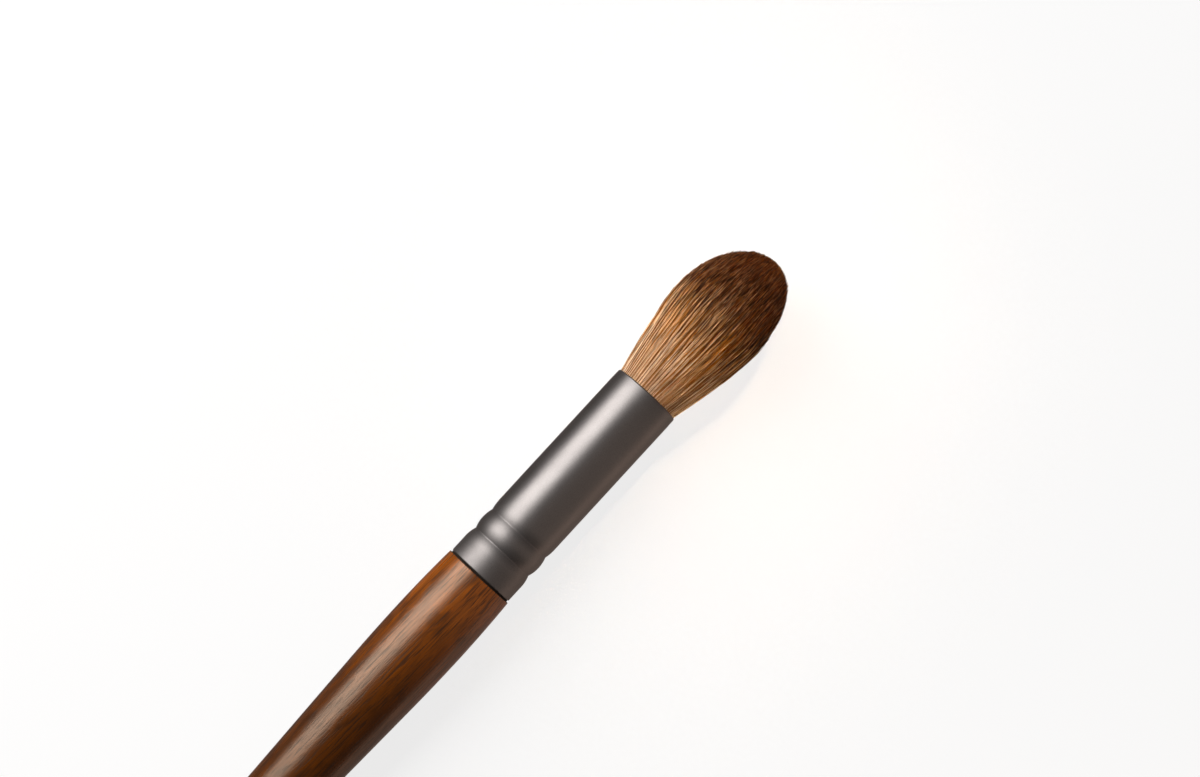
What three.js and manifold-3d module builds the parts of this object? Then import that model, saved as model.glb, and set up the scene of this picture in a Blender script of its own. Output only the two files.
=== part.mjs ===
// A tapered face brush lying on its side, in millimetres, +Z up, with its axis along X and its hair tip towards +X.
// It is a turned wooden handle, a rolled aluminium ferrule and a domed tuft of fine filaments.
// Glue, resin and a tied thread hold the three together inside the ferrule.
import * as THREE from 'three';
import { mergeVertices } from 'three/addons/utils/BufferGeometryUtils.js';
import Module from 'manifold-3d';

const wasm = await Module();
wasm.setup();

// Ferrule: a drawn tube with its mouth at x = 0 and its back end at x = -ferruleLength
const ferruleLength = 43;
const ferruleRadius = 6.5;
const ferruleWall = 0.4;

// Two rolled grooves that grip the tenon, set out from the ferrule's back end
const lowerGrooveDistance = 5.8;
const upperGrooveDistance = 10.1;
const grooveDepth = 0.3;
const grooveReach = 2.1; // from a groove's bottom to where its shoulder levels out
const rolledBandRise = 0.09; // how far the rolled end stands proud of the plain tube

// Handle, set out from its shoulder, which faces the ferrule's back end
const handleLength = 105;
const shoulderGap = 0.35;
const shoulderRise = 0.28; // over the ferrule's radius
const shoulderRound = 0.25;
const bellyRise = 0.63; // over the ferrule's radius
const bellyDistance = 13;
const taperDistance = 25; // where the straight taper starts
const buttRadius = 4.3;
const buttDome = 3.6; // length of the rounded end
const buttFlatRadius = 1.2; // the small flat left where the blank was parted off
const tenonChamfer = 0.6;

// What fills the ferrule between the tenon and the hair
const fitGap = 0.1; // clearance between pieces that are glued or crimped together
const glueFilm = 0.3; // thickness of the glue sleeve round the tenon
const glueSetback = 0.5; // from the upper groove's shoulder to the glue
const plugLength = 6;
const plugDish = 0.8; // depth of the hollow that the resin sets with, towards the handle

// Hair roots, packed tight and bound with thread just inside the ferrule
const rootDepth = 10;
const rootRecess = 0.2; // from the ferrule's mouth to the top of the packed roots
const bindingDistance = 7; // from the ferrule's mouth to the middle of the thread
const bindingWidth = 2;
const bindingDepth = 0.5;

// Tuft: strands fan out to the belly, then cup inwards under a domed tip that leans a little
const tuftLength = 32.3;
const tuftRadius = 9.2;
const tuftBellyHeight = 17.4;
const tuftTipLean = 0.8; // towards -Y
const fanPower = 1.6; // 1 would fan out in straight lines, and more bends them sooner
const cupping = 0.3; // share of the dome's own curve that the strands follow
const strandRings = 10;
const strandsPerRing = 6; // the first ring has these, and each ring further out as many more
const strandSides = 3;
const strandGap = 0.07; // least gap between neighbours at the root
const strandEmbed = 0.3; // how far a strand runs into the packed roots
const strandTipShare = 0.6; // a strand's thickness at its tip, as a share of that at the belly
const rootInset = 0.7; // from the ferrule's bore to the middle of the outermost strands

const turnSides = 24;
const curveSteps = 5;

// Places along the axis that several pieces share
const bore = ferruleRadius - ferruleWall;
const ferruleBack = -ferruleLength;
const lowerGroove = ferruleBack + lowerGrooveDistance;
const upperGroove = ferruleBack + upperGrooveDistance;
const glueBack = upperGroove + grooveReach + glueSetback;
const plugFront = -rootDepth - fitGap;
const plugBack = plugFront - plugLength;
const tenonFront = plugBack - fitGap;
const shoulder = ferruleBack - shoulderGap;

// Radius of the ferrule's outside: each groove is a sharp V whose flanks level out into convex shoulders
function ferruleOutside(x) {
  const top = x > upperGroove ? ferruleRadius : ferruleRadius + rolledBandRise;
  const bottom = ferruleRadius - grooveDepth;
  const distance = Math.min(Math.abs(x - upperGroove), Math.abs(x - lowerGroove));
  const nearness = Math.max(0, 1 - distance / grooveReach);
  return top - (top - bottom) * nearness ** 2;
}

// Stations along the rolled end, from the ferrule's back to where the plain tube begins
function rolledStations() {
  const stations = [ferruleBack, lowerGroove - grooveReach, lowerGroove - grooveReach / 2];
  const beadSteps = 4;
  for (let step = 0; step <= beadSteps; step++) {
    stations.push(THREE.MathUtils.lerp(lowerGroove, upperGroove, step / beadSteps));
  }
  stations.push(upperGroove + grooveReach / 2, upperGroove + grooveReach);
  return stations;
}

// A solid turned about the X axis from a profile of (radius, x) points that runs anticlockwise
function turned(profile) {
  const geometry = new THREE.LatheGeometry(profile, turnSides, Math.PI / turnSides);
  geometry.rotateZ(-Math.PI / 2);
  return geometry;
}

// A closed ring profile between two radii and two places along the axis
function ringProfile(inside, outside, back, front) {
  return [
    new THREE.Vector2(inside, back),
    new THREE.Vector2(outside, back),
    new THREE.Vector2(outside, front),
    new THREE.Vector2(inside, front),
    new THREE.Vector2(inside, back),
  ];
}

function handleGeometry() {
  const butt = shoulder - handleLength;
  const taper = shoulder - taperDistance;
  const belly = shoulder - bellyDistance;
  const bellyRadius = ferruleRadius + bellyRise;
  const shoulderRadius = ferruleRadius + shoulderRise;
  const easeMiddle = (taper + belly) / 2;
  const slope = (bellyRadius - buttRadius) / (easeMiddle - butt - buttDome);
  const taperRadius = bellyRadius - slope * (easeMiddle - taper);
  const outline = new THREE.Path();
  outline.moveTo(0, butt);
  outline.lineTo(buttFlatRadius, butt);
  const domeWidth = buttRadius - buttFlatRadius;
  outline.absellipse(buttFlatRadius, butt + buttDome, domeWidth, buttDome, -Math.PI / 2, 0, false);
  outline.lineTo(taperRadius, taper);
  outline.quadraticCurveTo(bellyRadius, easeMiddle, bellyRadius, belly);
  const roundStart = shoulder - shoulderRound;
  outline.quadraticCurveTo(bellyRadius, (belly + roundStart) / 2, shoulderRadius, roundStart);
  outline.absarc(shoulderRadius - shoulderRound, roundStart, shoulderRound, 0, Math.PI / 2, false);
  // The tenon fits the ferrule, grooves and all, and steps down where the glue goes
  const crimped = (x) => ferruleOutside(x) - ferruleWall - fitGap;
  const gluedRadius = bore - glueFilm - 2 * fitGap;
  outline.lineTo(crimped(ferruleBack), shoulder);
  for (const x of rolledStations()) {
    outline.lineTo(crimped(x), x);
  }
  outline.lineTo(crimped(glueBack), glueBack);
  outline.lineTo(gluedRadius, glueBack);
  outline.lineTo(gluedRadius, tenonFront - tenonChamfer);
  outline.lineTo(gluedRadius - tenonChamfer, tenonFront);
  outline.lineTo(0, tenonFront);
  return turned(outline.getPoints(curveSteps));
}

function ferruleGeometry() {
  const stations = [...rolledStations(), 0];
  const outside = stations.map((x) => new THREE.Vector2(ferruleOutside(x), x));
  const inside = stations.map((x) => new THREE.Vector2(ferruleOutside(x) - ferruleWall, x));
  return turned([...outside, ...inside.reverse(), outside[0]]);
}

function tenonGlueGeometry() {
  const outside = bore - fitGap;
  return turned(ringProfile(outside - glueFilm, outside, glueBack + fitGap, tenonFront - tenonChamfer));
}

function resinPlugGeometry() {
  const radius = bore - fitGap;
  const outline = new THREE.Path();
  outline.moveTo(0, plugBack + plugDish);
  outline.quadraticCurveTo(radius / 2, plugBack + plugDish, radius, plugBack);
  outline.lineTo(radius, plugFront);
  outline.lineTo(0, plugFront);
  return turned(outline.getPoints(curveSteps));
}

function bindingGeometry() {
  const outside = bore - fitGap;
  const thickness = bindingDepth - fitGap;
  const middle = outside - thickness / 2;
  const section = new THREE.EllipseCurve(middle, -bindingDistance, thickness / 2, bindingWidth / 2);
  return turned(section.getPoints(2 * curveSteps));
}

// The packed hair roots: a plug with a groove that the binding thread is drawn into
function packedRootsGeometry() {
  const radius = bore - fitGap;
  const waist = radius - bindingDepth;
  const halfGroove = bindingWidth / 2 + fitGap;
  const back = -rootDepth;
  const front = -rootRecess;
  const points = [
    [0, back],
    [radius, back],
    [radius, -bindingDistance - halfGroove],
    [waist, -bindingDistance - halfGroove],
    [waist, -bindingDistance + halfGroove],
    [radius, -bindingDistance + halfGroove],
    [radius, front],
    [0, front],
  ];
  return turned(points.map(([r, x]) => new THREE.Vector2(r, x)));
}

// All the strands as one set of closed triangular tubes.
// Strands sit in rings, and every ring spreads by the same rule, so no two of them cross.
function strandsGeometry() {
  const rootReach = bore - rootInset;
  const strandRadius = (rootReach / strandRings - strandGap) / 2;
  const bellyReach = tuftRadius / (1 + strandRadius / rootReach);
  const domeHeight = tuftLength - tuftBellyHeight;
  const fan = (x) => 1 - (1 - Math.max(0, x) / tuftBellyHeight) ** fanPower;
  const reachAt = (x) => THREE.MathUtils.lerp(rootReach, bellyReach, fan(x));
  const positions = [];
  const triangles = [];

  function addTriangleRing(x, y, z, radius, turn) {
    for (let side = 0; side < strandSides; side++) {
      const angle = turn + (2 * Math.PI * side) / strandSides;
      positions.push(x, y + radius * Math.cos(angle), z + radius * Math.sin(angle));
    }
  }

  function addStrand(share, turn) {
    const first = positions.length / 3;
    const middle = tuftBellyHeight / 2;
    const stations = [[-rootRecess - strandEmbed, 0], [middle, middle], [tuftBellyHeight, tuftBellyHeight]];
    for (const [x, spreadPlace] of stations) {
      const reach = reachAt(spreadPlace);
      const out = share * reach;
      const radius = strandRadius * (reach / rootReach);
      addTriangleRing(x, out * Math.cos(turn), out * Math.sin(turn), radius, turn);
    }
    // The tip lies where the strand meets the dome, an ellipse over the belly
    const outlineShare = (share * bellyReach) / tuftRadius;
    const domeWidth = (outlineShare * (1 - cupping)) / (1 - cupping * outlineShare);
    const rise = Math.sqrt(1 - domeWidth ** 2);
    const out = tuftRadius * domeWidth;
    const lean = -tuftTipLean * rise ** 2;
    const tipRadius = strandRadius * (bellyReach / rootReach) * strandTipShare;
    const tip = tuftBellyHeight + domeHeight * rise;
    addTriangleRing(tip, out * Math.cos(turn) + lean, out * Math.sin(turn), tipRadius, turn);
    for (let ring = 0; ring < stations.length; ring++) {
      for (let side = 0; side < strandSides; side++) {
        const a = first + ring * strandSides + side;
        const b = first + ring * strandSides + ((side + 1) % strandSides);
        triangles.push(a, b, a + strandSides, b, b + strandSides, a + strandSides);
      }
    }
    const last = first + stations.length * strandSides;
    for (let side = 1; side < strandSides - 1; side++) {
      triangles.push(first, first + side + 1, first + side);
      triangles.push(last, last + side, last + side + 1);
    }
  }

  addStrand(0, 0);
  for (let ring = 1; ring <= strandRings; ring++) {
    const count = strandsPerRing * ring;
    for (let place = 0; place < count; place++) {
      addStrand(ring / strandRings, (2 * Math.PI * place) / count);
    }
  }
  const geometry = new THREE.BufferGeometry();
  geometry.setAttribute('position', new THREE.Float32BufferAttribute(positions, 3));
  geometry.setIndex(triangles);
  return geometry;
}

// A closed geometry as a solid that can be joined to others
function toSolid(geometry) {
  geometry.deleteAttribute('normal');
  geometry.deleteAttribute('uv');
  const merged = mergeVertices(geometry);
  const corners = merged.index.array;
  const kept = [];
  for (let i = 0; i < corners.length; i += 3) {
    const [a, b, c] = corners.subarray(i, i + 3);
    if (a !== b && b !== c && c !== a) {
      kept.push(a, b, c);
    }
  }
  const vertProperties = new Float32Array(merged.attributes.position.array);
  return new wasm.Manifold(new wasm.Mesh({ numProp: 3, vertProperties, triVerts: new Uint32Array(kept) }));
}

function fromSolid(solid) {
  const mesh = solid.getMesh();
  const geometry = new THREE.BufferGeometry();
  geometry.setAttribute('position', new THREE.BufferAttribute(mesh.vertProperties, 3));
  geometry.setIndex(new THREE.BufferAttribute(mesh.triVerts, 1));
  return geometry;
}

function tuftGeometry() {
  return fromSolid(toSolid(packedRootsGeometry()).add(toSolid(strandsGeometry())));
}

function piece(name, geometry, color, roughness, metalness) {
  const mesh = new THREE.Mesh(geometry, new THREE.MeshStandardMaterial({ color, roughness, metalness }));
  mesh.name = name;
  return mesh;
}

const brush = new THREE.Group();
brush.add(
  piece('handle', handleGeometry(), '#5b2b10', 0.35, 0),
  piece('ferrule', ferruleGeometry(), '#7a736f', 0.4, 1),
  piece('tenon_glue', tenonGlueGeometry(), '#e3d9bd', 0.5, 0),
  piece('resin_plug', resinPlugGeometry(), '#c79a55', 0.3, 0),
  piece('root_binding_thread', bindingGeometry(), '#d9cdb5', 0.9, 0),
  piece('hair_tuft', tuftGeometry(), '#7b4a28', 0.6, 0),
);

// The origin is the middle of the bottom of the brush's box, so that it lies on z = 0
const box = new THREE.Box3().setFromObject(brush);
const centre = box.getCenter(new THREE.Vector3());
brush.position.set(-centre.x, -centre.y, -box.min.z);

const part = new THREE.Group();
part.add(brush);

export default part;
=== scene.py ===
# %% [markdown]
# # A tapered face brush
# A make-up brush is three things that show, all on one axis: a turned wooden handle, a rolled metal
# ferrule and a domed tuft of fine filaments. Each could be modelled by eye in edit mode, but the real
# sizes already stand in a construction model. That model is loaded first as a fixed frame, and every
# surface made here is laid over it, so nothing has to be fitted afterwards.

# %% Load the frame
import math

import bpy
import numpy as np
from mathutils import Matrix, Vector


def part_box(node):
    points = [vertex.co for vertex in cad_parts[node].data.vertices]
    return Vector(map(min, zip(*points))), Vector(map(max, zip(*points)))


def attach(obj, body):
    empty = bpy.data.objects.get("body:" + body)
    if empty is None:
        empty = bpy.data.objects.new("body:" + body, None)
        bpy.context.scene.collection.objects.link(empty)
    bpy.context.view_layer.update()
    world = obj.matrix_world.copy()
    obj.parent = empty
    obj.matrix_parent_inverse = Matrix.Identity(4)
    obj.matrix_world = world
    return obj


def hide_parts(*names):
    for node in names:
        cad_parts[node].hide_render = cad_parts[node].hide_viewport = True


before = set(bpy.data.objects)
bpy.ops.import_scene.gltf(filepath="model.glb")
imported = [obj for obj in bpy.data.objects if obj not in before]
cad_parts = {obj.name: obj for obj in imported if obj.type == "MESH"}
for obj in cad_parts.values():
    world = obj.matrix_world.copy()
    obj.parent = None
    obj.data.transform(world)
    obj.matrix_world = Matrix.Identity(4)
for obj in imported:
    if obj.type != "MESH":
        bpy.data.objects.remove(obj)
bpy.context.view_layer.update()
print("nodes in the frame:", sorted(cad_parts))

# %% [markdown]
# ## One axis to measure from
# A maker sets a brush out from the mouth of its ferrule. Points could be written in metres from the
# scene's origin, as Blender stores them, but then no number would say what it measures. So the shapes
# below are in millimetres along the axis from that mouth: positive towards the hair tip, negative
# towards the handle. One function turns them into Blender's metres.

# %% The brush axis
MM = 0.001

ferrule_low, ferrule_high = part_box("ferrule")
handle_low, handle_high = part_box("handle")
tuft_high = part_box("hair_tuft")[1]
mouth_x = ferrule_high[0]
axis_y = (ferrule_low[1] + ferrule_high[1]) / 2
axis_z = (ferrule_low[2] + ferrule_high[2]) / 2

FERRULE_BACK = (ferrule_low[0] - mouth_x) / MM
BUTT = (handle_low[0] - mouth_x) / MM
TENON_FRONT = (handle_high[0] - mouth_x) / MM
TUFT_TIP = (tuft_high[0] - mouth_x) / MM


def placed(along, across, up):
    """Millimetres from the middle of the ferrule's mouth, as points in metres in the brush's own frame."""
    parts = np.broadcast_arrays(mouth_x + along * MM, axis_y + across * MM, axis_z + up * MM)
    return np.stack(parts, axis=-1)


print(f"ferrule back {FERRULE_BACK:.1f} mm, butt {BUTT:.1f} mm, tuft tip {TUFT_TIP:.1f} mm")

# %% [markdown]
# ## Helpers for materials
# Colours are written as the hex values that a picture editor shows. Shaders work in linear light, so one
# function converts them. Nodes could be clicked together in the shader editor, but a script can be read
# and run again. One function adds a node, sets it up and links it, which keeps each material short
# enough to read in one go.

# %% Colour and node helpers


def linear(hex_colour):
    """sRGB hex to linear light: c / 12.92 up to 0.04045, else ((c + 0.055) / 1.055) to the power 2.4."""
    c = np.array([int(hex_colour[i : i + 2], 16) for i in (1, 3, 5)]) / 255
    light = np.where(c <= 0.04045, c / 12.92, ((c + 0.055) / 1.055) ** 2.4)
    return (*light.tolist(), 1.0)


def per_mm(*sizes):
    """Sizes of a pattern's features in millimetres, as the scale of a Mapping node: one over each size."""
    return tuple(1 / (size * MM) for size in sizes)


def node(tree, kind, inputs, out=0, stops=(), **settings):
    """Adds a node with its settings, inputs and a ramp's (place, colour) stops, and gives one output."""
    made = tree.nodes.new(kind)
    for name, value in settings.items():
        setattr(made, name, value)
    if stops:
        # A new ramp has two stops, which take the ends, and the rest are added between them
        ramp = made.color_ramp.elements
        for element, (place, colour) in zip(ramp, (stops[0], stops[-1])):
            element.position = place
            element.color = linear(colour)
        for place, colour in stops[1:-1]:
            ramp.new(place).color = linear(colour)
    for key, value in inputs.items():
        if isinstance(value, bpy.types.NodeSocket):
            tree.links.new(value, made.inputs[key])
        else:
            made.inputs[key].default_value = value
    return made.outputs[out] if len(made.outputs) else made


def new_material(name):
    """A material with an empty node tree, and that tree."""
    material = bpy.data.materials.new(name)
    material.use_nodes = True
    material.node_tree.nodes.clear()
    return material, material.node_tree


print("mid grey #808080 in linear light:", round(linear("#808080")[0], 3))

# %% [markdown]
# ## Stained wood under satin lacquer
# The handle is a close-grained hardwood, stained walnut brown. Up close it has broad figure, darker
# clouds, fine streaks and short dark pores, all running along the axis. A picture of veneer could be
# wrapped round it, but that leaves a seam and one fixed sharpness. Noise that is stretched along X fills
# the whole block, as real grain does, so it runs on without a seam and round the butt too. The satin
# lacquer spreads the light into a milky band, so the gloss is broad and soft.

# %% Wood grain patterns
# Sizes of each pattern's features in millimetres: along the grain, across it and up
FIGURE = (25, 2.2, 2.2)
CLOUD = (8, 2.6, 2.6)
STREAK = (8, 0.25, 0.25)
# Pores are really about 0.15 mm wide, and are drawn at 0.26 mm so that they show
PORE = (5, 0.26, 0.26)
GRAIN_TILT = math.radians(2.0)

# Gives the eye a warm brown with darker clouds, fine lengthwise streaks and short pores under a soft gloss
walnut, tree = new_material("walnut_stained_hardwood_satin_lacquer")
spot = node(tree, "ShaderNodeTexCoord", {}, out="Object")
along = node(tree, "ShaderNodeSeparateXYZ", {"Vector": spot}, out="X")
grain = node(tree, "ShaderNodeMapping", {"Vector": spot, "Rotation": (0, 0, GRAIN_TILT)})
figure_at = node(tree, "ShaderNodeMapping", {"Vector": grain, "Scale": per_mm(*FIGURE)})
figure = node(
    tree, "ShaderNodeTexNoise", {"Vector": figure_at, "Scale": 1.0, "Detail": 3.0, "Distortion": 0.3}
)
cloud_at = node(tree, "ShaderNodeMapping", {"Vector": grain, "Scale": per_mm(*CLOUD)})
cloud = node(
    tree, "ShaderNodeTexNoise", {"Vector": cloud_at, "Scale": 1.0, "Detail": 3.0, "Distortion": 0.8}
)
streak_at = node(tree, "ShaderNodeMapping", {"Vector": grain, "Scale": per_mm(*STREAK)})
streak = node(tree, "ShaderNodeTexNoise", {"Vector": streak_at, "Scale": 1.0, "Detail": 4.0})
pore_at = node(tree, "ShaderNodeMapping", {"Vector": grain, "Scale": per_mm(*PORE)})
pore = node(tree, "ShaderNodeTexNoise", {"Vector": pore_at, "Scale": 1.0, "Detail": 1.0})
print("wood patterns in mm:", FIGURE, CLOUD, STREAK, PORE)

# %% Wood stain and painted light falloff
STAIN_STOPS = [(0.3, "#5f2d01"), (0.5, "#6a3401"), (0.7, "#763b02")]
# Painted light and shade, not a change in the stain: the wood is drawn brightest at the first of these
# places and darkest from the second one back, for light that falls off towards the butt
PAINTED_LIGHT_END = -46.0
PAINTED_SHADE_END = -72.0
PORE_BROWN = linear("#281004")

stain = node(tree, "ShaderNodeValToRGB", {"Fac": figure}, stops=STAIN_STOPS)
streak_value = node(
    tree,
    "ShaderNodeMapRange",
    {"Value": streak, "From Min": 0.3, "From Max": 0.7, "To Min": 0.62, "To Max": 1.34},
)
cloud_value = node(
    tree,
    "ShaderNodeMapRange",
    {"Value": cloud, "From Min": 0.34, "From Max": 0.52, "To Min": 0.6, "To Max": 1.05},
)
figured = node(tree, "ShaderNodeMath", {0: streak_value, 1: cloud_value}, operation="MULTIPLY")
# Painted light falloff: the wood's value runs from 1.68 behind the shoulder down to 0.6 towards the butt
painted_falloff = node(
    tree,
    "ShaderNodeMapRange",
    {
        "Value": along,
        "From Min": mouth_x + PAINTED_SHADE_END * MM,
        "From Max": mouth_x + PAINTED_LIGHT_END * MM,
        "To Min": 0.6,
        "To Max": 1.68,
    },
)
grain_and_painted_falloff = node(tree, "ShaderNodeMath", {0: figured, 1: painted_falloff}, operation="MULTIPLY")
shaded = node(tree, "ShaderNodeHueSaturation", {"Color": stain, "Value": grain_and_painted_falloff})
pore_depth = node(
    tree,
    "ShaderNodeMapRange",
    {"Value": pore, "From Min": 0.53, "From Max": 0.65, "To Min": 0.0, "To Max": 0.75},
)
pored = node(tree, "ShaderNodeMix", {0: pore_depth, 6: shaded, 7: PORE_BROWN}, out=2, data_type="RGBA")
# The span printed here is that of the painted light falloff, which the stain itself doesn't have
print(f"the stain darkens from {PAINTED_LIGHT_END} to {PAINTED_SHADE_END} mm")

# %% Sawn shoulder and painted seam shade
# The tube is drawn a little shorter than in the frame, so that the seam at the wood shows as a dark line
TUBE_SHORT = 0.2
SEAM = 0.3
TUBE_BACK = FERRULE_BACK + TUBE_SHORT
SHOULDER = TUBE_BACK - SEAM
# The sawn face of the shoulder and the tenon in front of it are drawn near black, as painted shade for the
# narrow seam, which lies in shadow
SEAM_SHADE_START = SHOULDER - 0.08
SEAM_SHADE_FULL = SHOULDER - 0.02
SEAM_SHADE_BROWN = linear("#0d0705")

# Painted shade: this mask turns the wood near black in the seam, and also makes it dull
sawn_seam_shade = node(
    tree,
    "ShaderNodeMapRange",
    {"Value": along, "From Min": mouth_x + SEAM_SHADE_START * MM, "From Max": mouth_x + SEAM_SHADE_FULL * MM},
)
wood_colour = node(tree, "ShaderNodeMix", {0: sawn_seam_shade, 6: pored, 7: SEAM_SHADE_BROWN}, out=2, data_type="RGBA")
print(f"shoulder {SHOULDER:.1f} mm, tube back {TUBE_BACK:.1f} mm")

# %% Satin lacquer
# Light streaks are a little smoother than dark ones, and pores and the shaded seam are dull. The lacquer
# is slightly amber, which warms its gloss.
GRAIN_DENT = 0.05 * MM
PORE_DULLING = 0.12

grain_depth = node(tree, "ShaderNodeMath", {0: streak, 1: -1.0, 2: pore_depth}, operation="MULTIPLY_ADD")
wood_dent = node(
    tree, "ShaderNodeBump", {"Strength": 0.2, "Distance": GRAIN_DENT, "Height": grain_depth}, invert=True
)
wood_gloss = node(
    tree,
    "ShaderNodeMapRange",
    {"Value": streak, "From Min": 0.3, "From Max": 0.7, "To Min": 0.345, "To Max": 0.25},
)
dull_pores = node(
    tree, "ShaderNodeMath", {0: pore_depth, 1: PORE_DULLING, 2: wood_gloss}, operation="MULTIPLY_ADD"
)
dull_sawn = node(tree, "ShaderNodeMath", {0: dull_pores, 1: sawn_seam_shade}, operation="MAXIMUM")
wood_finish = node(
    tree,
    "ShaderNodeBsdfPrincipled",
    {
        "Base Color": wood_colour,
        "Roughness": dull_sawn,
        "IOR": 1.57,
        "Specular Tint": linear("#ffe6cc"),
        "Normal": wood_dent,
    },
)
node(tree, "ShaderNodeOutputMaterial", {"Surface": wood_finish})
print("made", walnut.name, "with", len(tree.nodes), "nodes")

# %% [markdown]
# ## Matt gunmetal aluminium
# The ferrule is drawn aluminium, blasted with fine beads and then anodised dark. The blasted dents are
# far too fine to model, and a strong bump would only make them sparkle. So most of the finish is
# roughness, which spreads the light into one broad, even band, over a faint grain. A little unevenness
# in the gloss keeps it from looking like plastic.

# %% Gunmetal aluminium
# The blasted grain is really about 0.05 mm, and is drawn at 0.12 mm so that it shows at all
GRIT = (0.12, 0.12, 0.12)
# Handling leaves the gloss uneven in patches of about 6 mm
HANDLED = (6, 6, 6)
GRIT_DENT = 0.02 * MM
METAL_STOPS = [(0.3, "#6c6866"), (0.7, "#797472")]

# Gives the eye a dark warm grey metal with a broad soft highlight and a barely visible grain
gunmetal, tree = new_material("gunmetal_anodised_aluminium_bead_blasted")
spot = node(tree, "ShaderNodeTexCoord", {}, out="Object")
grit_at = node(tree, "ShaderNodeMapping", {"Vector": spot, "Scale": per_mm(*GRIT)})
grit = node(tree, "ShaderNodeTexNoise", {"Vector": grit_at, "Scale": 1.0, "Detail": 2.0})
handled_at = node(tree, "ShaderNodeMapping", {"Vector": spot, "Scale": per_mm(*HANDLED)})
handled = node(tree, "ShaderNodeTexNoise", {"Vector": handled_at, "Scale": 1.0, "Detail": 3.0})
metal_colour = node(tree, "ShaderNodeValToRGB", {"Fac": grit}, stops=METAL_STOPS)
metal_dent = node(tree, "ShaderNodeBump", {"Strength": 0.06, "Distance": GRIT_DENT, "Height": grit})
metal_roughness = node(
    tree,
    "ShaderNodeMapRange",
    {"Value": handled, "From Min": 0.3, "From Max": 0.7, "To Min": 0.4, "To Max": 0.45},
)
print("blasted grain drawn at", GRIT[0], "mm")

# %% Ends dulled by the rolling tools
# The gloss is best round the first of these places, and falls off between the two distances from it
GLOSS_MIDDLE = -18.0
DULL_START = 13.0
DULL_FULL = 25.0

along = node(tree, "ShaderNodeSeparateXYZ", {"Vector": spot}, out="X")
from_middle = node(
    tree, "ShaderNodeMath", {0: along, 1: mouth_x + GLOSS_MIDDLE * MM}, operation="SUBTRACT"
)
end_distance = node(tree, "ShaderNodeMath", {0: from_middle}, operation="ABSOLUTE")
dulled = node(
    tree,
    "ShaderNodeMapRange",
    {
        "Value": end_distance,
        "From Min": DULL_START * MM,
        "From Max": DULL_FULL * MM,
        "To Min": 0.0,
        "To Max": 0.1,
    },
)
tooled_roughness = node(tree, "ShaderNodeMath", {0: metal_roughness, 1: dulled}, operation="ADD")
metal_finish = node(
    tree,
    "ShaderNodeBsdfPrincipled",
    {"Base Color": metal_colour, "Metallic": 1.0, "Roughness": tooled_roughness, "Normal": metal_dent},
)
node(tree, "ShaderNodeOutputMaterial", {"Surface": metal_finish})
print("made", gunmetal.name, "with", len(tree.nodes), "nodes")

# %% [markdown]
# ## Turned pieces
# The handle comes off a lathe and the ferrule off a rolling machine, so both are one profile spun about
# the axis. Blender's Screw modifier can spin a profile too, but a grid of points says exactly where each
# row of faces lies: one row for each point of the profile, one column for each step round. Blender keeps
# a mesh as long rows of points, corners and faces, and foreach_set fills such a row in one call, which is
# far quicker than adding faces one by one. The same grid also serves the filaments and the thread.

# %% Meshes from grids


def new_piece(name, points, corners, sizes, material):
    """A smooth mesh from its points, its faces' corners in one row, and each face's number of corners."""
    mesh = bpy.data.meshes.new(name)
    mesh.vertices.add(len(points))
    mesh.vertices.foreach_set("co", np.asarray(points, dtype=np.float32).ravel())
    mesh.loops.add(len(corners))
    mesh.loops.foreach_set("vertex_index", np.asarray(corners, dtype=np.int32))
    mesh.polygons.add(len(sizes))
    starts = np.cumsum(sizes) - sizes
    mesh.polygons.foreach_set("loop_start", np.asarray(starts, dtype=np.int32))
    mesh.polygons.foreach_set("use_smooth", np.ones(len(sizes), dtype=bool))
    mesh.update(calc_edges=True)
    mesh.validate()
    mesh.materials.append(material)
    piece = bpy.data.objects.new(name, mesh)
    bpy.context.scene.collection.objects.link(piece)
    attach(piece, "root")
    return piece


def ring_faces(rows, columns, closed):
    """Four corners of each face of a grid: columns go round in a ring, and rows do too when closed."""
    row = np.arange(rows if closed else rows - 1)[:, None]
    column = np.arange(columns)[None, :]
    here = row * columns
    after = (row + 1) % rows * columns
    beside = (column + 1) % columns
    corners = [here + column, here + beside, after + beside, after + column]
    return np.stack(corners, axis=-1).reshape(-1, 4)


print("a closed ring of 3 by 4 points has", len(ring_faces(3, 4, True)), "faces")

# %% Profiles spun about the axis
SHARP_EDGE = math.radians(40)


def turned(name, profile, material, closed=False, sides=192):
    """A profile of (along, radius) points spun about the axis, with flat ends unless it is closed."""
    along, radius = np.asarray(profile).T
    angle = np.arange(sides) * 2 * math.pi / sides
    points = placed(along[:, None], radius[:, None] * np.cos(angle), radius[:, None] * np.sin(angle))
    quads = ring_faces(len(along), sides, closed)
    corners = quads.ravel()
    sizes = np.full(len(quads), 4)
    if not closed:
        back = np.arange(sides)[::-1]
        front = np.arange(sides) + (len(along) - 1) * sides
        corners = np.concatenate([corners, back, front])
        sizes = np.concatenate([sizes, [sides, sides]])
    piece = new_piece(name, points.reshape(-1, 3), corners, sizes, material)
    piece.data.set_sharp_from_angle(angle=SHARP_EDGE)
    return piece


def arc(centre_along, centre_radius, size, first_degrees, last_degrees, steps=8):
    """Points of a rounded edge: the centre plus its size times (cosine, sine) of each angle."""
    angle = np.radians(np.linspace(first_degrees, last_degrees, steps))
    return np.stack([centre_along + size * np.cos(angle), centre_radius + size * np.sin(angle)], axis=-1)


def bend(start, control, end, steps=24):
    """Points of a quadratic curve: (1 - t)^2 start + 2 t (1 - t) control + t^2 end."""
    t = np.linspace(0, 1, steps)[:, None]
    return (1 - t) ** 2 * np.array(start) + 2 * t * (1 - t) * np.array(control) + t**2 * np.array(end)


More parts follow.
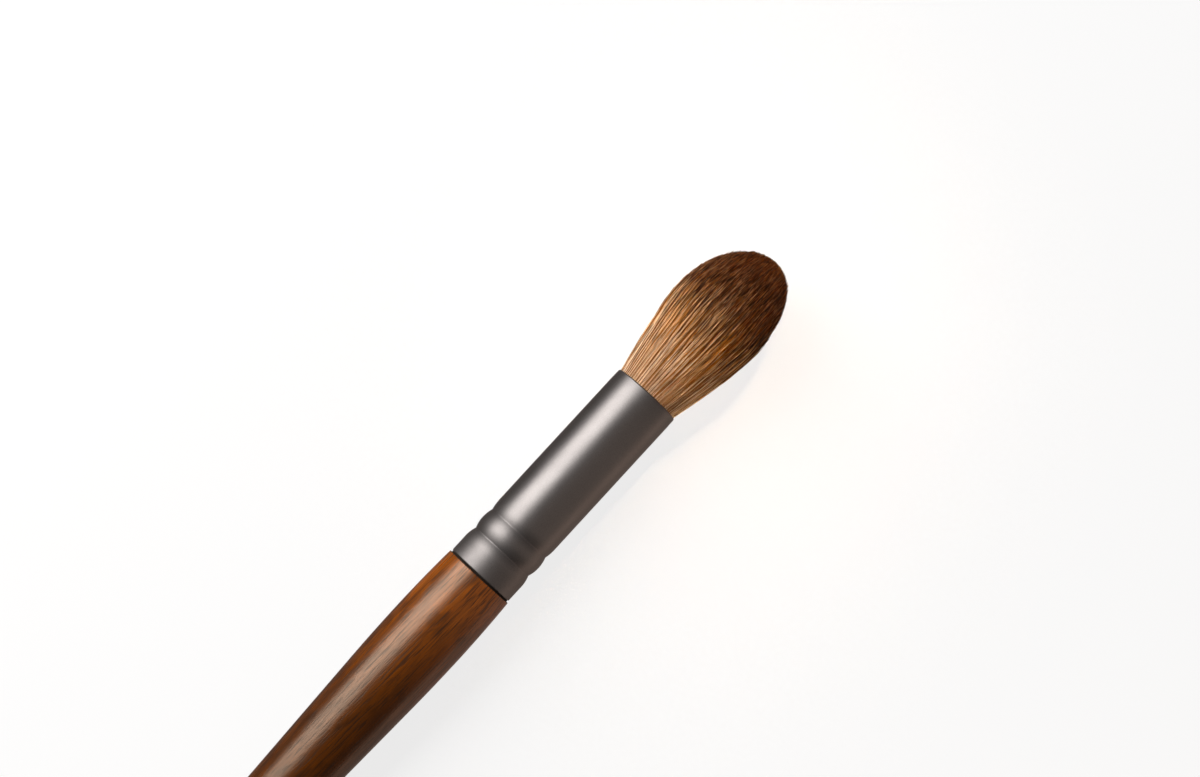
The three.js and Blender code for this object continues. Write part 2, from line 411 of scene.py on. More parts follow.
print("a quarter round has", len(arc(0, 0, 1, 90, 0)), "points")

# %% [markdown]
# ## The ferrule
# A thin tube is drawn, slipped over the tenon and rolled between wheels. The wheels press two sharp
# grooves, and the metal beside each groove rises into round shoulders, with a bead between the two. The
# grooves could be a bump in the material, but the outline would then stay straight. So they are in the
# profile, as one formula of the distance to the nearest groove. Both ends of the tube are eased, and
# those small round edges catch a thin line of light.

# %% Ferrule profile
# All in millimetres: the rolled back end stands a little proud of the tube, and the mouth is drawn in
FERRULE_RADIUS = 6.5
FERRULE_WALL = 0.4
GROOVES = (FERRULE_BACK + 5.8, FERRULE_BACK + 10.1)
GROOVE_DEPTHS = (0.3, 0.25)
GROOVE_REACH = 2.1
GROOVE_ROUND = 0.03
ROLLED_RISE = 0.09
MOUTH_DRAW = 0.05
MOUTH_DRAW_REACH = 2.5


def ferrule_outside(x):
    """Outside radius: the top, less the groove's depth times (1 - distance / reach) squared near it."""
    distance = np.min([np.abs(x - groove) for groove in GROOVES], axis=0)
    eased = np.sqrt(distance**2 + GROOVE_ROUND**2) - GROOVE_ROUND
    top = FERRULE_RADIUS + np.where(x > GROOVES[1], 0.0, ROLLED_RISE)
    halfway = (GROOVES[0] + GROOVES[1]) / 2
    bottom = FERRULE_RADIUS - np.where(x < halfway, *GROOVE_DEPTHS)
    drawn_in = MOUTH_DRAW * np.clip(1 + x / MOUTH_DRAW_REACH, 0, 1) ** 2
    return top - (top - bottom) * np.clip(1 - eased / GROOVE_REACH, 0, 1) ** 2 - drawn_in


print(f"grooves at {GROOVES[0]:.1f} and {GROOVES[1]:.1f} mm")

# %% Ferrule tube
EDGE_ROUND = 0.25
ROLLED_FRONT = GROOVES[1] + 3
PLAIN_BACK = GROOVES[1] + 3.5
ROLLED_STEPS = 170
PLAIN_STEPS = 16

rolled = np.linspace(TUBE_BACK + EDGE_ROUND, ROLLED_FRONT, ROLLED_STEPS)
plain = np.linspace(PLAIN_BACK, -EDGE_ROUND, PLAIN_STEPS)
stations = np.concatenate([rolled, plain])
outside = np.stack([stations, ferrule_outside(stations)], axis=-1)
inside = np.stack([stations, ferrule_outside(stations) - FERRULE_WALL], axis=-1)[::-1]
back_radius = outside[0, 1] - EDGE_ROUND
front_radius = outside[-1, 1] - EDGE_ROUND
ferrule_profile = np.concatenate(
    [
        arc(TUBE_BACK + EDGE_ROUND, back_radius, EDGE_ROUND, 180, 90)[:-1],
        outside,
        arc(-EDGE_ROUND, front_radius, EDGE_ROUND, 90, 0)[1:],
        inside,
    ]
)
ferrule = turned("ferrule_tube", ferrule_profile, gunmetal, closed=True)
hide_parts("ferrule")
print("ferrule faces:", len(ferrule.data.polygons))

# %% [markdown]
# ## The handle
# The blank is turned between centres. It swells just behind the ferrule, where the fingers hold it, then
# tapers evenly to a rounded butt. In front of the shoulder the same wood goes on as a tenon inside the
# ferrule. A few points and a subdivision modifier could give the swell, but would also round the
# shoulder away. So the profile is put together from a dome, a line and two curves that meet at the
# belly, and the shoulder's edge gets its own small round.

# %% Handle outside
SHOULDER_RADIUS = 6.78
SHOULDER_ROUND = 0.12
BELLY = SHOULDER - 13
BELLY_RADIUS = 7.13
TAPER = SHOULDER - 25
BUTT_RADIUS = 4.3
BUTT_DOME = 3.6
BUTT_FLAT = 1.2
DOME_STEPS = 16
TAPER_STEPS = 24

ease = (TAPER + BELLY) / 2
slope = (BELLY_RADIUS - BUTT_RADIUS) / (ease - BUTT - BUTT_DOME)
taper_radius = BELLY_RADIUS - slope * (ease - TAPER)
round_start = SHOULDER - SHOULDER_ROUND
front_ease = (BELLY + round_start) / 2
dome_turn = np.linspace(-math.pi / 2, 0, DOME_STEPS)
dome_along = BUTT + BUTT_DOME * (1 + np.sin(dome_turn))
dome_radius = BUTT_FLAT + (BUTT_RADIUS - BUTT_FLAT) * np.cos(dome_turn)
taper_along = np.linspace(BUTT + BUTT_DOME, TAPER, TAPER_STEPS)[1:]
taper_fall = np.interp(taper_along, [BUTT + BUTT_DOME, TAPER], [BUTT_RADIUS, taper_radius])
handle_outside = np.concatenate(
    [
        np.stack([dome_along, dome_radius], axis=-1),
        np.stack([taper_along, taper_fall], axis=-1),
        bend((TAPER, taper_radius), (ease, BELLY_RADIUS), (BELLY, BELLY_RADIUS))[1:],
        bend((BELLY, BELLY_RADIUS), (front_ease, BELLY_RADIUS), (round_start, SHOULDER_RADIUS))[1:],
        arc(round_start, SHOULDER_RADIUS - SHOULDER_ROUND, SHOULDER_ROUND, 0, 90)[::-1][1:],
    ]
)
print(f"belly at {BELLY:.1f} mm, taper radius {taper_radius:.2f} mm")

# %% Tenon and handle
TENON_RADIUS = 5.5
TENON_CHAMFER = 0.6
NECK_RADIUS = 6.42
GRIP_FRONT = GROOVES[1] + 2.5
GRIP_GAP = 0.1
GRIP_STEPS = 60
GRIP_BACK = TUBE_BACK - 0.02
NECK_FRONT = TUBE_BACK - 0.03
STEP_LENGTH = 0.1

# The tube's grooves press into the tenon, so the gripped stretch follows the tube's inside
gripped = np.linspace(TUBE_BACK, GRIP_FRONT, GRIP_STEPS)
gripped_line = np.stack([gripped, ferrule_outside(gripped) - FERRULE_WALL - GRIP_GAP], axis=-1)
neck = [
    (SHOULDER, NECK_RADIUS),
    (NECK_FRONT, NECK_RADIUS),
    (GRIP_BACK, gripped_line[0, 1]),
]
tenon = [
    (GRIP_FRONT + STEP_LENGTH, TENON_RADIUS),
    (TENON_FRONT - TENON_CHAMFER, TENON_RADIUS),
    (TENON_FRONT, TENON_RADIUS - TENON_CHAMFER),
]
handle_profile = np.concatenate([handle_outside, neck, gripped_line, tenon])
handle = turned("handle_turned", handle_profile, walnut)
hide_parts("handle")
print("handle faces:", len(handle.data.polygons))

# %% [markdown]
# ## Dyed filaments
# Each filament of the tuft is dyed from tan at the ferrule to dark brown at the tip, and no two take the
# dye alike. A material for each would be thousands of materials. Here the mesh carries a map instead:
# its u picks one of the tones that the batch of filaments has, and its v runs up the tuft. The colour
# depends on that map alone, so each filament keeps its own tone from root to tip.

# %% Filament dye
# Filaments start this far inside the ferrule's mouth
ROOT_DEPTH = 3.0
# Tones in the batch, each with its own column of the map
TONES = 128
# Colours of the dye, by millimetres above the ferrule's mouth
DYE = [(0, "#b28560"), (6, "#bb8960"), (13, "#986235"), (20, "#562b0e"), (26, "#401b07"), (31, "#4a2009")]


def height_share(along):
    """A place along the axis as a share of the filaments' reach: 0 at the roots and 1 at the tip."""
    return (along + ROOT_DEPTH) / (TUFT_TIP + ROOT_DEPTH)


# Gives the eye fine silky strands, tan below and dark above, a few of them pale and a few nearly black
filament, tree = new_material("dyed_tapered_filament")
# The export bakes the strands' colours through a map of this name
strand_map = node(tree, "ShaderNodeUVMap", {}, uv_map="OFBake")
strand_tone = node(tree, "ShaderNodeSeparateXYZ", {"Vector": strand_map}, out="X")
strand_height = node(tree, "ShaderNodeSeparateXYZ", {"Vector": strand_map}, out="Y")
DYE_STOPS = [(height_share(above), colour) for above, colour in DYE]
dyed = node(tree, "ShaderNodeValToRGB", {"Fac": strand_height}, stops=DYE_STOPS)
print("dye stops:", [round(place, 2) for place, colour in DYE_STOPS])

# %% Lighter and darker strands
# Tones up to this one run from dark to light, and the few above it are the pale strands
PLAIN_TONES = 0.9
# A strand wanders lighter and darker about this many times on its way up
CHANGES = 13.0

tone_value = node(
    tree,
    "ShaderNodeMapRange",
    {"Value": strand_tone, "From Min": 0.0, "From Max": PLAIN_TONES, "To Min": 0.2, "To Max": 1.75},
)
change_at = node(tree, "ShaderNodeMapping", {"Vector": strand_map, "Scale": (TONES, CHANGES, 1.0)})
change = node(tree, "ShaderNodeTexNoise", {"Vector": change_at, "Scale": 1.0, "Detail": 1.0})
change_value = node(
    tree,
    "ShaderNodeMapRange",
    {"Value": change, "From Min": 0.3, "From Max": 0.7, "To Min": 0.4, "To Max": 1.6},
)
own_value = node(tree, "ShaderNodeMath", {0: tone_value, 1: change_value}, operation="MULTIPLY")
# Tones lie close together near the ferrule and far apart under the dome
contrast = node(
    tree,
    "ShaderNodeMapRange",
    {"Value": strand_height, "From Min": 0.25, "From Max": 0.85, "To Min": 0.68, "To Max": 1.9},
    interpolation_type="SMOOTHSTEP",
)
strand_value = node(tree, "ShaderNodeMath", {0: own_value, 1: contrast}, operation="POWER")
print("tones:", TONES, "of which plain:", int(PLAIN_TONES * TONES))

# %% Redder and more golden strands
# Dark strands are deep and reddish, light ones are milder and golden, and all are deeper near the tip
TIP_DEPTH = 0.25

tone_depth = node(
    tree,
    "ShaderNodeMapRange",
    {"Value": strand_tone, "From Min": 0.0, "From Max": PLAIN_TONES, "To Min": 1.32, "To Max": 0.64},
)
depth = node(
    tree, "ShaderNodeMath", {0: strand_height, 1: TIP_DEPTH, 2: tone_depth}, operation="MULTIPLY_ADD"
)
tone_hue = node(
    tree,
    "ShaderNodeMapRange",
    {"Value": strand_tone, "From Min": 0.0, "From Max": PLAIN_TONES, "To Min": 0.488, "To Max": 0.52},
)
toned = node(
    tree,
    "ShaderNodeHueSaturation",
    {"Color": dyed, "Hue": tone_hue, "Saturation": depth, "Value": strand_value},
)
print("strand nodes so far:", len(tree.nodes))

# %% Pale strands and gloss
PALE_TAN = linear("#e2d2bb")

pale_strand = node(tree, "ShaderNodeMapRange", {"Value": strand_tone, "From Min": 0.94, "From Max": 0.96})
pale_below = node(
    tree,
    "ShaderNodeMapRange",
    {"Value": strand_height, "From Min": 0.25, "From Max": 0.5, "To Min": 0.8, "To Max": 0.05},
)
paleness = node(tree, "ShaderNodeMath", {0: pale_strand, 1: pale_below}, operation="MULTIPLY")
filament_colour = node(
    tree, "ShaderNodeMix", {0: paleness, 6: toned, 7: PALE_TAN}, out=2, data_type="RGBA"
)
# Filaments are polished along their length and dull where their tips are tapered
strand_gloss = node(tree, "ShaderNodeMapRange", {"Value": strand_height, "To Min": 0.36, "To Max": 0.66})
filament_finish = node(
    tree,
    "ShaderNodeBsdfPrincipled",
    {
        "Base Color": filament_colour,
        "Roughness": strand_gloss,
        "Specular IOR Level": 0.32,
        "Specular Tint": linear("#ffdcb6"),
    },
)
node(tree, "ShaderNodeOutputMaterial", {"Surface": filament_finish})
print("made", filament.name, "with", len(tree.nodes), "nodes")

# %% [markdown]
# ## The tuft
# Thousands of filaments are tied, cupped in a mould so that their tips make a dome, and glued. Blender's
# hair curves could draw them, but a part is handed on as surfaces, so each filament is a thin tapered
# tube with three sides. It holds its own share of the tuft's radius all the way up, so they fan out
# together and bend in a little under the dome. Neighbours draw together into clumps, which makes the
# dark gaps and the ragged edge. Real filaments are about 0.07 mm thick. These are thicker and fewer, so
# that single strands show.

# %% Seats and clumps
FILAMENTS = 9400
CLUMPS = 900
# How far seats stray from an even pattern, as shares of their spacing
SEAT_JITTER = 0.4
CLUMP_JITTER = 0.5
GOLDEN_TURN = math.pi * (3 - math.sqrt(5))
SEED = 7

rng = np.random.default_rng(SEED)


def seats(count, jitter):
    """Points in a unit disc: i lies at the root of i / count, turned by i golden angles, then jittered."""
    i = np.arange(count) + 0.5
    reach = np.sqrt(i / count)
    turn = i * GOLDEN_TURN
    even = np.stack([reach * np.cos(turn), reach * np.sin(turn)], axis=-1)
    places = even + rng.normal(0, jitter / math.sqrt(count), (count, 2))
    return places / np.maximum(1, np.linalg.norm(places, axis=1, keepdims=True))


seat = seats(FILAMENTS, SEAT_JITTER)
clump_seat = seats(CLUMPS, CLUMP_JITTER)
# The nearest clump has the largest product of both seats, less half its own seat's square
closeness = seat @ clump_seat.T - 0.5 * np.sum(clump_seat**2, axis=1)
clump = np.argmax(closeness, axis=1)
# Each filament's share of the tuft's radius
share = np.linalg.norm(seat, axis=1)
print("filaments:", FILAMENTS, "in", CLUMPS, "clumps of up to", np.bincount(clump).max())

# %% How each filament wanders
# Pulls are shares of the way to the clump's middle, and drifts and waves are in millimetres
CLUMP_PULL = 0.25
CLUMP_DRIFT = 0.06
STRAND_DRIFT = 0.2
STRAY_DRIFT = 0.35
STRAYS = 0.03
STRAY_REACH = 0.85
WAVE_SIZES = (0.04, 0.16)
WAVE_COUNTS = (2.0, 5.5)
FREE_SHARE = 0.6

clump_pull = rng.uniform(0.0, CLUMP_PULL, CLUMPS)[clump]
clump_drift = rng.normal(0, CLUMP_DRIFT, (CLUMPS, 2))[clump]
stray = (rng.random(FILAMENTS) < STRAYS) & (share < STRAY_REACH)
own_drift = np.where(stray, STRAY_DRIFT, STRAND_DRIFT)[:, None]
drift = clump_drift + rng.normal(0, 1, (FILAMENTS, 2)) * own_drift
# Past the free share of the radius they drift less, which keeps the tuft's outline clean
drift *= np.clip(1 + FREE_SHARE - share, 0, 1)[:, None] ** 2
wave_size = rng.uniform(*WAVE_SIZES, (FILAMENTS, 2))
wave_count = rng.uniform(*WAVE_COUNTS, (FILAMENTS, 2))
wave_start = rng.uniform(0, 2 * math.pi, (FILAMENTS, 2))
print("strays:", int(stray.sum()))

# %% Where each filament ends
TUFT_BELLY = 17.4
# How full the dome is, and how much of its curve the filaments follow inwards
DOME_POWER = 2.1
CUPPING = 0.45
# Millimetres by which clumps, strands and strays fall short of a dome that is drawn a little long
TIP_EXTRA = 0.15
CLUMP_CUT = 0.2
STRAND_CUT = 0.16
STRAY_CUT = 2.5
CUT_SEED = 11

# A filament ends where its path, bent in by the cupping, meets the dome's outline
dome_width = share * (1 - CUPPING) / (1 - CUPPING * share)
dome_rise = (1 - dome_width**2) ** (1 / DOME_POWER)
clump_cut = np.abs(np.random.default_rng(CUT_SEED).normal(0, CLUMP_CUT, CLUMPS))[clump]
strand_cut = np.abs(rng.normal(0, STRAND_CUT, FILAMENTS))
stray_cut = np.where(stray, rng.uniform(0, STRAY_CUT, FILAMENTS), 0)
shortfall = strand_cut + clump_cut - TIP_EXTRA + stray_cut
tip = TUFT_BELLY + (TUFT_TIP - TUFT_BELLY) * dome_rise - shortfall
print(f"filaments end between {tip.min():.1f} and {tip.max():.1f} mm")

# %% Filament paths
MOUTH_REACH = 6.15
TUFT_RADIUS = 9.25
# How early the fan opens and clumps draw together, and how late drift sets in
FAN_POWER = 1.3
PULL_RISE = 1.6
DRIFT_POWER = 1.5
# The tuft stands to one side by the shift from its height up, and the tip leans further that way
SHIFT = 0.12
SHIFT_HEIGHT = 10.0
TIP_LEAN = 0.8
LEAN_START = 19.0


def reach_at(x):
    """Radius of the outermost filament: fans out to the belly, then follows part of the dome inwards."""
    fan = 1 - (1 - np.clip(x / TUFT_BELLY, 0, 1)) ** FAN_POWER
    below = MOUTH_REACH + (TUFT_RADIUS - MOUTH_REACH) * fan
    rise = np.clip((x - TUFT_BELLY) / (TUFT_TIP - TUFT_BELLY), 0, 1)
    above = TUFT_RADIUS * (1 - CUPPING * (1 - np.sqrt(1 - rise**DOME_POWER)))
    return np.where(x < TUFT_BELLY, below, above)


def strand_middles(chosen, x):
    """Middles at places x: the seat pulled to its clump, times the reach, plus drift, waves and lean."""
    height = np.clip(x / TUFT_TIP, 0, 1)[..., None]
    pull = clump_pull[chosen, None, None] * np.clip(height * PULL_RISE, 0, 1)
    held = seat[chosen, None] * (1 - pull) + clump_seat[clump[chosen], None] * pull
    wave = np.sin(wave_start[chosen, None] + 2 * math.pi * wave_count[chosen, None] * height)
    sway = drift[chosen, None] * height**DRIFT_POWER + wave_size[chosen, None] * wave * np.sqrt(height)
    middle = held * reach_at(x)[..., None] + sway
    leaning = np.clip(x - LEAN_START, 0, None) / (TUFT_TIP - LEAN_START)
    middle[..., 0] -= SHIFT * np.clip(x / SHIFT_HEIGHT, 0, 1) + TIP_LEAN * leaning**2
    return middle


print(f"tuft radius {reach_at(0.0):.2f} mm at the mouth, {reach_at(TUFT_BELLY):.2f} mm at the belly")

# %% Filament tones
# A dark lot and a light lot are mixed half and half, and a few pale filaments are added
DARK_LOT = -0.3
LIGHT_LOT = 0.3
TONE_MIDDLE = 0.48
TONE_SPREAD = 0.15
PALE_SHARE = 0.035
PALE_TONE = 0.98
DARKEST_TONE = 0.02

lot = np.where(np.arange(FILAMENTS) % 2, LIGHT_LOT, DARK_LOT)
mixed_tone = TONE_MIDDLE + lot + rng.normal(0, TONE_SPREAD, FILAMENTS)
tone = np.clip(mixed_tone, DARKEST_TONE, PLAIN_TONES)
tone = np.where(rng.random(FILAMENTS) < PALE_SHARE, PALE_TONE, tone)
tone_column = np.floor(tone * TONES) / TONES
print("pale filaments:", int((tone == PALE_TONE).sum()))

# %% Filament thickness and faces
STEPS = 21
FILAMENT_SIDES = 3
# Thickness in millimetres, by share of a filament's length
THICKNESS = [(0, 0.115), (0.55, 0.175), (0.85, 0.175), (1, 0.07)]

progress = np.linspace(0, 1, STEPS)
strand_radius = np.interp(progress, *np.transpose(THICKNESS))[:, None] / 2


def filament_corners(count):
    """Corners of the tubes' faces and end caps in one row, and each face's number of corners."""
    first = np.arange(count)[:, None, None] * STEPS * FILAMENT_SIDES
    quads = first + ring_faces(STEPS, FILAMENT_SIDES, False)
    roots = first[:, 0] + np.arange(FILAMENT_SIDES)[::-1]
    tips = first[:, 0] + np.arange(FILAMENT_SIDES) + (STEPS - 1) * FILAMENT_SIDES
    corners = np.concatenate([quads.ravel(), roots.ravel(), tips.ravel()])
    sides = np.full(quads.shape[0] * quads.shape[1], 4)
    caps = np.full(2 * count, FILAMENT_SIDES)
    return corners, np.concatenate([sides, caps])


print("faces of one filament:", len(filament_corners(1)[1]))

# %% Filament meshes
# A strand's map is a narrow band inside its tone's column, as shares of the column's width
MAP_EDGE = 0.3
MAP_WIDTH = 0.4
# A filament's three sides are turned by up to this many radians
LARGEST_TURN = 2.0
GROUPS = [f"tuft_ring_{ring}" for ring in range(1, 7)]


def filament_mesh(name, chosen):
    """Tapered tubes: each step is a triangle at the strand's radius round its middle, turned by chance."""
    x = -ROOT_DEPTH + (tip[chosen, None] + ROOT_DEPTH) * progress
    middle = strand_middles(chosen, x)
    turn = rng.uniform(0, LARGEST_TURN, len(chosen))[:, None, None]
    angle = np.arange(FILAMENT_SIDES) * 2 * math.pi / FILAMENT_SIDES + turn
    across = middle[..., 0, None] + strand_radius * np.cos(angle)
    up = middle[..., 1, None] + strand_radius * np.sin(angle)
    points = placed(x[..., None], across, up)
    corners, sizes = filament_corners(len(chosen))
    piece = new_piece(name, points.reshape(-1, 3), corners, sizes, filament)
    u_low = tone_column[chosen, None, None] + MAP_EDGE / TONES
    # The three corners of a step lie at the band's edge, its far edge and its edge again
    u_wide = np.array([0, 1, 0]) * MAP_WIDTH / TONES
    v = np.clip(height_share(x), 0, 1)[..., None]
    strand_uv = np.stack(np.broadcast_arrays(u_low + u_wide, v), axis=-1).reshape(-1, 2)
    layer = piece.data.uv_layers.new(name="OFBake")
    layer.uv.foreach_set("vector", strand_uv[corners].astype(np.float32).ravel())
    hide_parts("hair_tuft")
    return piece


for name, chosen in zip(GROUPS, np.array_split(np.argsort(share), len(GROUPS))):
    piece = filament_mesh(name, chosen)
    print(name, "faces:", len(piece.data.polygons))

# %% [markdown]
# ## Inside the ferrule
# The roots are packed tight, tied with a few turns of waxed thread and locked with resin, and the tenon
# is glued in behind them. None of this shows on a finished brush, but a cut-away would show it. Single
# roots would be thousands of hidden faces, so one turned plug with a waist stands for them. The thread
# in that waist is a small circle carried along a helix, because a plain ring wouldn't show its turns.

# %% Packed roots
# Roots are really about 0.07 mm thick, and are drawn at 0.15 mm so that they show
SOAKED = (6, 0.15, 0.15)
SOAKED_STOPS = [(0.3, "#3a2110"), (0.7, "#7a4f2b")]
ROOTS_RADIUS = 6.0
ROOTS_BACK = -10.0
ROOTS_FRONT = -1.2
WAIST_RADIUS = 5.5
WAIST_STEP = 0.05
THREAD_MIDDLE = -7.0
THREAD_TURNS = 5
THREAD_THICKNESS = 0.38
THREAD_GAP = 0.1

# Gives the eye dark brown hair ends soaked in resin
soaked, tree = new_material("resin_soaked_hair_roots")
spot = node(tree, "ShaderNodeTexCoord", {}, out="Object")
soaked_at = node(tree, "ShaderNodeMapping", {"Vector": spot, "Scale": per_mm(*SOAKED)})
soaked_streak = node(tree, "ShaderNodeTexNoise", {"Vector": soaked_at, "Scale": 1.0, "Detail": 2.0})
soaked_colour = node(tree, "ShaderNodeValToRGB", {"Fac": soaked_streak}, stops=SOAKED_STOPS)
soaked_finish = node(tree, "ShaderNodeBsdfPrincipled", {"Base Color": soaked_colour, "Roughness": 0.6})
node(tree, "ShaderNodeOutputMaterial", {"Surface": soaked_finish})

half_band = THREAD_TURNS * THREAD_THICKNESS / 2 + THREAD_GAP
roots_profile = [
    (ROOTS_BACK, ROOTS_RADIUS),
    (THREAD_MIDDLE - half_band, ROOTS_RADIUS),
    (THREAD_MIDDLE - half_band + WAIST_STEP, WAIST_RADIUS),
    (THREAD_MIDDLE + half_band - WAIST_STEP, WAIST_RADIUS),
    (THREAD_MIDDLE + half_band, ROOTS_RADIUS),
    (ROOTS_FRONT, ROOTS_RADIUS),
]
roots = turned("packed_roots", roots_profile, soaked, sides=96)
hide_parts("hair_tuft")
print("packed roots faces:", len(roots.data.polygons))

# %% Binding thread
# The thread's twist repeats about every 0.4 mm
TWIST = (0.4, 0.4, 0.4)
TWIST_STOPS = [(0.2, "#b7a98c"), (0.8, "#e0d6c2")]
THREAD_SIDES = 8
STEPS_A_TURN = 48
WIND_STEPS = THREAD_TURNS * STEPS_A_TURN

# Gives the eye a pale waxed cotton thread with a twist in it
waxed, tree = new_material("waxed_cotton_thread")
spot = node(tree, "ShaderNodeTexCoord", {}, out="Object")
twist_at = node(tree, "ShaderNodeMapping", {"Vector": spot, "Scale": per_mm(*TWIST)})
twist = node(tree, "ShaderNodeTexWave", {"Vector": twist_at, "Scale": 1.0, "Distortion": 1.5})
twist_colour = node(tree, "ShaderNodeValToRGB", {"Fac": twist}, stops=TWIST_STOPS)
waxed_finish = node(tree, "ShaderNodeBsdfPrincipled", {"Base Color": twist_colour, "Roughness": 0.7})
node(tree, "ShaderNodeOutputMaterial", {"Surface": waxed_finish})

half_thread = THREAD_THICKNESS / 2
wind_turn = np.linspace(0, THREAD_TURNS * 2 * math.pi, WIND_STEPS)
wind_place = np.linspace(0, 1, WIND_STEPS) - 0.5
wind_along = THREAD_MIDDLE + wind_place * (THREAD_TURNS - 1) * THREAD_THICKNESS
section = np.arange(THREAD_SIDES) * 2 * math.pi / THREAD_SIDES
wind_radius = WAIST_RADIUS + half_thread + half_thread * np.cos(section)
thread_points = placed(
    wind_along[:, None] - half_thread * np.sin(section),
    wind_radius * np.cos(wind_turn[:, None]),
    wind_radius * np.sin(wind_turn[:, None]),
)
thread_quads = ring_faces(WIND_STEPS, THREAD_SIDES, False)
thread_start = np.arange(THREAD_SIDES)[::-1]
thread_end = np.arange(THREAD_SIDES) + (WIND_STEPS - 1) * THREAD_SIDES
thread = new_piece(
    "binding_thread_wound",
    thread_points.reshape(-1, 3),
    np.concatenate([thread_quads.ravel(), thread_start, thread_end]),
    np.concatenate([np.full(len(thread_quads), 4), [THREAD_SIDES, THREAD_SIDES]]),
    waxed,
)
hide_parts("root_binding_thread")
print("thread turns:", THREAD_TURNS)

# %% [markdown]
# ## Resin and glue
# Amber resin is poured in behind the roots, and a creamy wood glue holds the tenon. Both took the shape
# of the room they were poured into, and the frame's plain solids already have it. New meshes would only
# repeat them, so the frame's own pieces stay and get a finish each.

# %% Resin and glue
# The resin's clouds are about 2.5 mm wide, and the glue's skin puckers about every 1.5 mm
HAZE = (2.5, 2.5, 2.5)
SKIN = (1.5, 1.5, 1.5)
RESIN_STOPS = [(0.3, "#a8762f"), (0.7, "#d4a862")]
GLUE_STOPS = [(0.3, "#d6c8a4"), (0.7, "#efe6cf")]

# Gives the eye amber resin, slightly cloudy, with a clean gloss where it set against the tube
resin, tree = new_material("cured_amber_resin")
spot = node(tree, "ShaderNodeTexCoord", {}, out="Object")
haze_at = node(tree, "ShaderNodeMapping", {"Vector": spot, "Scale": per_mm(*HAZE)})
haze = node(tree, "ShaderNodeTexNoise", {"Vector": haze_at, "Scale": 1.0, "Detail": 3.0})
haze_colour = node(tree, "ShaderNodeValToRGB", {"Fac": haze}, stops=RESIN_STOPS)
resin_finish = node(tree, "ShaderNodeBsdfPrincipled", {"Base Color": haze_colour, "Roughness": 0.25})
node(tree, "ShaderNodeOutputMaterial", {"Surface": resin_finish})

# Gives the eye a creamy glue with a dull, uneven skin
glue, tree = new_material("set_wood_glue")
spot = node(tree, "ShaderNodeTexCoord", {}, out="Object")
skin_at = node(tree, "ShaderNodeMapping", {"Vector": spot, "Scale": per_mm(*SKIN)})
skin = node(tree, "ShaderNodeTexNoise", {"Vector": skin_at, "Scale": 1.0, "Detail": 3.0})
skin_colour = node(tree, "ShaderNodeValToRGB", {"Fac": skin}, stops=GLUE_STOPS)
glue_finish = node(tree, "ShaderNodeBsdfPrincipled", {"Base Color": skin_colour, "Roughness": 0.55})
node(tree, "ShaderNodeOutputMaterial", {"Surface": glue_finish})

for name, material in (("resin_plug", resin), ("tenon_glue", glue)):
    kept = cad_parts[name]
    kept.data.materials.clear()
    kept.data.materials.append(material)
    print(name, "keeps its own shape in", material.name)

# %% [markdown]
# ## Floor
# The brush lies on its side and touches the ground with the belly of the tuft and the belly of the
# handle. A level floor would leave one of them in the air, so this one is tilted by under two degrees to
# meet both. In a product picture the ground is nearly white, while the brush on it stays richly shaded.
# A floor that really shone so brightly would wash the brush out. So the paper has two faces: the camera
# sees it near white, and the brush is lit by a paper that is warm in front and dim behind. That is a
# choice in the studio, and no part of the brush.

# %% Floor
FLOOR_SIDE = 4.0

touch_tuft = placed(TUFT_BELLY, 0, -TUFT_RADIUS)
touch_handle = placed(BELLY, 0, -BELLY_RADIUS)
floor_slope = (touch_tuft[2] - touch_handle[2]) / (touch_tuft[0] - touch_handle[0])
floor_x = np.array([-1, 1, 1, -1]) * FLOOR_SIDE / 2
floor_y = np.array([-1, -1, 1, 1]) * FLOOR_SIDE / 2
floor_z = touch_tuft[2] + floor_slope * (floor_x - touch_tuft[0])
floor_mesh = bpy.data.meshes.new("floor")
floor_mesh.from_pydata(np.stack([floor_x, floor_y, floor_z], axis=-1).tolist(), [], [(0, 1, 2, 3)])
floor = bpy.data.objects.new("floor", floor_mesh)
bpy.context.scene.collection.objects.link(floor)
print("floor slope:", round(math.degrees(math.atan(floor_slope)), 2), "degrees")

# %% Studio paper
# The paper is warm from the first of these places on, in front of the brush, and dim behind the second
WARM_EDGE = -60.0
DIM_EDGE = 30.0
SIDE_STOPS = [(0.0, "#ffe4d3"), (0.5, "#a3938a"), (1.0, "#5a5554")]

# Gives the eye a clean sheet of paper, lit from below to near white and darkened only by a faint shadow
paper, tree = new_material("pale_studio_paper")
spot = node(tree, "ShaderNodeTexCoord", {}, out="Object")
sideways = node(tree, "ShaderNodeSeparateXYZ", {"Vector": spot}, out="Y")
side_place = node(
    tree, "ShaderNodeMapRange", {"Value": sideways, "From Min": WARM_EDGE * MM, "From Max": DIM_EDGE * MM}
)
side_light = node(tree, "ShaderNodeValToRGB", {"Fac": side_place}, stops=SIDE_STOPS)
paper_lit = node(tree, "ShaderNodeEmission", {"Color": side_light, "Strength": 0.9})
paper_shadow = node(tree, "ShaderNodeBsdfDiffuse", {"Color": linear("#7d7c7b")})
paper_glow = node(tree, "ShaderNodeEmission", {"Color": linear("#ffffff"), "Strength": 0.8})
paper_seen = node(tree, "ShaderNodeAddShader", {0: paper_shadow, 1: paper_glow})
seen = node(tree, "ShaderNodeLightPath", {}, out="Is Camera Ray")
paper_mixed = node(tree, "ShaderNodeMixShader", {0: seen, 1: paper_lit, 2: paper_seen})
node(tree, "ShaderNodeOutputMaterial", {"Surface": paper_mixed})
floor_mesh.materials.append(paper)
print("made", paper.name, "with", len(tree.nodes), "nodes")

